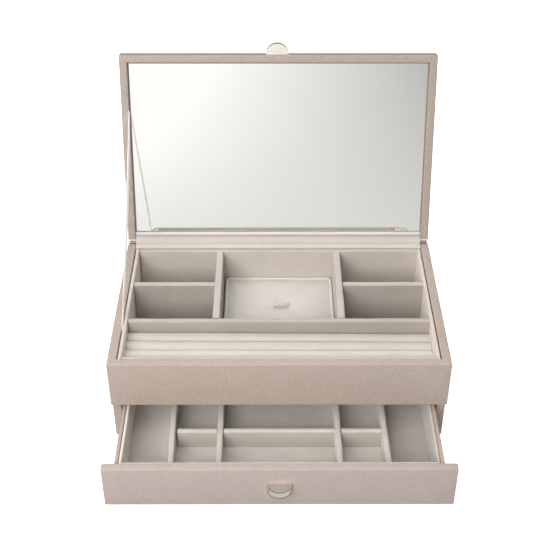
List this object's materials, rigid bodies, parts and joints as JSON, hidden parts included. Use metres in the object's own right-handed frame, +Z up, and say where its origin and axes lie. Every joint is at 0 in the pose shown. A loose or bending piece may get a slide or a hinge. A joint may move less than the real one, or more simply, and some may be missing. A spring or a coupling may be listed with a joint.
{
  "type": "jewellery chest",
  "caption": "Leather-covered jewellery chest: mirrored lid on a ribbon stay, divided tray with ring rolls and lift-out pad, divided drawer below.",
  "frame": {"origin": "centre of the case's underside, on the surface it stands on", "axes": "+Z up, -Y towards the front where the drawer opens, +X to the right seen from the front"},
  "size_m": [0.3, 0.3315, 0.2822],
  "materials": {
    "leatherette": "satin",
    "tray_velvet": "velvet",
    "roll_velvet": "velvet",
    "drawer_velvet": "velvet",
    "pad_velvet": "velvet",
    "board": "matte",
    "felt": "matte",
    "mirror": "polished",
    "pull_metal": "satin nickel",
    "hinge_metal": "satin nickel",
    "steel": "plain",
    "cover_cloth": "matte",
    "ribbon": "satin"
  },
  "bodies": {
    "case": {"case_left_side": "leatherette", "case_right_side": "leatherette", "case_front_wall": "leatherette", "case_back_wall": "leatherette", "tray_lining_left": "tray_velvet", "tray_lining_right": "tray_velvet", "tray_lining_front": "tray_velvet", "tray_lining_rear": "tray_velvet", "tray_floor": "tray_velvet", "tray_divider_front": "tray_velvet", "tray_divider_left": "tray_velvet", "tray_divider_right": "tray_velvet", "tray_short_divider_left": "tray_velvet", "tray_short_divider_right": "tray_velvet", "ring_roll_1": "roll_velvet", "ring_roll_2": "roll_velvet", "ring_roll_3": "roll_velvet", "ring_roll_4": "roll_velvet", "case_bottom": "board", "mid_shelf": "board", "drawer_stop": "board", "glide_strips": "felt", "hinge_screws_case": "steel", "hinge_leaf_case": "hinge_metal", "hinge_pin": "steel", "hinge_cover_case": "cover_cloth", "ribbon": "ribbon"},
    "lid": {"lid_panel": "leatherette", "lid_rail_left": "leatherette", "lid_rail_right": "leatherette", "lid_rail_front": "leatherette", "lid_rail_rear": "leatherette", "mirror": "mirror", "lid_pull": "pull_metal", "lid_pull_screw": "steel", "hinge_leaf_lid": "hinge_metal", "hinge_screws_lid": "steel", "hinge_cover_lid": "cover_cloth"},
    "drawer": {"drawer_front": "leatherette", "drawer_side_left": "leatherette", "drawer_side_right": "leatherette", "drawer_back": "leatherette", "drawer_lining_left": "drawer_velvet", "drawer_lining_right": "drawer_velvet", "drawer_lining_front": "drawer_velvet", "drawer_lining_rear": "drawer_velvet", "drawer_floor": "drawer_velvet", "drawer_divider_1": "drawer_velvet", "drawer_divider_2": "drawer_velvet", "drawer_divider_3": "drawer_velvet", "drawer_divider_4": "drawer_velvet", "drawer_cross_divider_1": "drawer_velvet", "drawer_cross_divider_2": "drawer_velvet", "drawer_cross_divider_3": "drawer_velvet", "drawer_bottom": "board", "drawer_pull": "pull_metal", "drawer_pull_screw": "steel"},
    "tray_pad": {"pad": "pad_velvet", "pad_loop": "ribbon"}
  },
  "joints": [
    {"name": "lid_hinge", "type": "hinge", "parent": "case", "child": "lid", "pos_m": [0, 0.09295, 0.09325], "axis": [1, 0, 0], "range_deg": [0, 105.2], "deforming": ["ribbon"]},
    {"name": "drawer_slide", "type": "slide", "parent": "case", "child": "drawer", "axis": [0, -1, 0], "range_m": [-0.0765, 0.055]},
    {"name": "pad_lift", "type": "slide", "parent": "case", "child": "tray_pad", "axis": [0, 0, 1], "range_m": [0, 0.06]}
  ]
}
